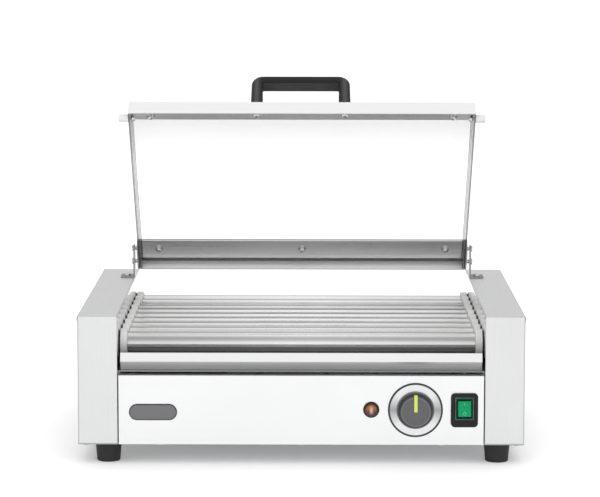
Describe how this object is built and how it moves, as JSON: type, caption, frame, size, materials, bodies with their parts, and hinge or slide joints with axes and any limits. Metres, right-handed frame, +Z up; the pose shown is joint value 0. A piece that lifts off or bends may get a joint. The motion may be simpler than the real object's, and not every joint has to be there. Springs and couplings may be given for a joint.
{
  "type": "hot dog roller grill",
  "caption": "Bench-top roller grill with driven heated roller tubes between two side housings, a drip tray, a control panel with dial and rocker switch, and a hinged clear lid.",
  "frame": {"origin": "centre of the overall bounding box in X and Y, on the floor under the feet", "axes": "+X to the right of someone facing the controls, +Y away from them towards the back, +Z up; the controls face -Y"},
  "size_m": [0.524, 0.426, 0.4422],
  "materials": {
    "housing_steel": "brushed",
    "panel_steel": "satin",
    "inner_steel": "satin",
    "plain_steel": "mill",
    "roller_steel": "polished",
    "tray_steel": "satin",
    "white_plastic": "matte",
    "bush_plastic": "matte",
    "element_sheath": "oxidised",
    "insulator_white": "glazed",
    "chain_steel": "oiled",
    "wheel_steel": "machined",
    "motor_paint": "painted",
    "black_plastic": "matte",
    "knob_plastic": "satin",
    "lime_plastic": "gloss",
    "green_plastic": "gloss",
    "amber_plastic": "gloss",
    "dial_metal": "satin",
    "badge_metal": "satin",
    "foot_rubber": "matte",
    "screw_steel": "bright",
    "clear_sheet": "clear",
    "rail_steel": "brushed",
    "fog_plastic": "matte"
  },
  "bodies": {
    "base": {"base_plate": "plain_steel", "side_casing_left": "housing_steel", "side_casing_right": "housing_steel", "inner_wall_left": "inner_steel", "inner_wall_right": "inner_steel", "front_panel": "panel_steel", "back_panel": "panel_steel", "tray_deck": "plain_steel", "roller_seals": "white_plastic", "roller_bushes": "bush_plastic", "heating_elements": "element_sheath", "element_insulators": "insulator_white", "element_rails": "plain_steel", "drive_chain": "chain_steel", "gear_motor": "motor_paint", "motor_bracket": "plain_steel", "thermostat": "black_plastic", "dial_plate": "dial_metal", "switch_body": "black_plastic", "indicator_lens": "amber_plastic", "indicator_body": "black_plastic", "badge_plate": "badge_metal", "rubber_feet": "foot_rubber", "foot_screws": "screw_steel", "casing_screws": "screw_steel", "hinge_bracket_left": "housing_steel", "hinge_bracket_right": "housing_steel", "hinge_pins": "screw_steel", "cable_gland": "fog_plastic"},
    "lid": {"lid_pane": "clear_sheet", "lid_front_rail": "rail_steel", "lid_rear_rail": "rail_steel", "lid_clamp_strips": "rail_steel", "lid_handle": "black_plastic", "lid_bumpers": "white_plastic", "lid_screws": "screw_steel"},
    "tray": {"drip_tray": "tray_steel"},
    "knob": {"control_knob": "knob_plastic", "knob_pointer": "lime_plastic"},
    "rocker": {"switch_rocker": "green_plastic"},
    "motor_drive": {"motor_shaft": "wheel_steel", "motor_sprocket": "wheel_steel"},
    "roller_body_1": {"roller_1": "roller_steel", "sprocket_1": "wheel_steel"},
    "roller_body_2": {"roller_2": "roller_steel", "sprocket_2": "wheel_steel"},
    "roller_body_3": {"roller_3": "roller_steel", "sprocket_3": "wheel_steel"},
    "roller_body_4": {"roller_4": "roller_steel", "sprocket_4": "wheel_steel"},
    "roller_body_5": {"roller_5": "roller_steel", "sprocket_5": "wheel_steel"},
    "roller_body_6": {"roller_6": "roller_steel", "sprocket_6": "wheel_steel"},
    "roller_body_7": {"roller_7": "roller_steel", "sprocket_7": "wheel_steel"},
    "roller_body_8": {"roller_8": "roller_steel", "sprocket_8": "wheel_steel"},
    "roller_body_9": {"roller_9": "roller_steel", "sprocket_9": "wheel_steel"}
  },
  "joints": [
    {"name": "lid_hinge", "type": "hinge", "parent": "base", "child": "lid", "pos_m": [0, 0.1283, 0.1963], "axis": [1, 0, 0], "range_deg": [0, 48.6]},
    {"name": "tray_slide", "type": "slide", "parent": "base", "child": "tray", "axis": [0, -1, 0], "range_m": [0, 0.33]},
    {"name": "knob_turn", "type": "hinge", "parent": "base", "child": "knob", "pos_m": [0.133, -0.2, 0.0655], "axis": [0, 1, 0], "range_deg": [0, 270]},
    {"name": "rocker_tip", "type": "hinge", "parent": "base", "child": "rocker", "pos_m": [0.19, -0.2005, 0.0671], "axis": [1, 0, 0], "range_deg": [0, 14]},
    {"name": "roller_turn_1", "type": "hinge", "parent": "base", "child": "roller_body_1", "pos_m": [0, -0.15, 0.136], "axis": [1, 0, 0], "continuous": true},
    {"name": "roller_turn_2", "type": "hinge", "parent": "base", "child": "roller_body_2", "pos_m": [0, -0.1125, 0.136], "axis": [1, 0, 0], "continuous": true},
    {"name": "roller_turn_3", "type": "hinge", "parent": "base", "child": "roller_body_3", "pos_m": [0, -0.075, 0.136], "axis": [1, 0, 0], "continuous": true},
    {"name": "roller_turn_4", "type": "hinge", "parent": "base", "child": "roller_body_4", "pos_m": [0, -0.0375, 0.136], "axis": [1, 0, 0], "continuous": true},
    {"name": "roller_turn_5", "type": "hinge", "parent": "base", "child": "roller_body_5", "pos_m": [0, 0, 0.136], "axis": [1, 0, 0], "continuous": true},
    {"name": "roller_turn_6", "type": "hinge", "parent": "base", "child": "roller_body_6", "pos_m": [0, 0.0375, 0.136], "axis": [1, 0, 0], "continuous": true},
    {"name": "roller_turn_7", "type": "hinge", "parent": "base", "child": "roller_body_7", "pos_m": [0, 0.075, 0.136], "axis": [1, 0, 0], "continuous": true},
    {"name": "roller_turn_8", "type": "hinge", "parent": "base", "child": "roller_body_8", "pos_m": [0, 0.1125, 0.136], "axis": [1, 0, 0], "continuous": true},
    {"name": "roller_turn_9", "type": "hinge", "parent": "base", "child": "roller_body_9", "pos_m": [0, 0.15, 0.136], "axis": [1, 0, 0], "continuous": true},
    {"name": "motor_turn", "type": "hinge", "parent": "base", "child": "motor_drive", "pos_m": [0, 0, 0.072], "axis": [1, 0, 0], "continuous": true}
  ],
  "couplings": [
    {"joint": "roller_turn_2", "follows": "roller_turn_1", "ratio": 1},
    {"joint": "roller_turn_3", "follows": "roller_turn_1", "ratio": 1},
    {"joint": "roller_turn_4", "follows": "roller_turn_1", "ratio": 1},
    {"joint": "roller_turn_5", "follows": "roller_turn_1", "ratio": 1},
    {"joint": "roller_turn_6", "follows": "roller_turn_1", "ratio": 1},
    {"joint": "roller_turn_7", "follows": "roller_turn_1", "ratio": 1},
    {"joint": "roller_turn_8", "follows": "roller_turn_1", "ratio": 1},
    {"joint": "roller_turn_9", "follows": "roller_turn_1", "ratio": 1},
    {"joint": "motor_turn", "follows": "roller_turn_1", "ratio": 1}
  ]
}
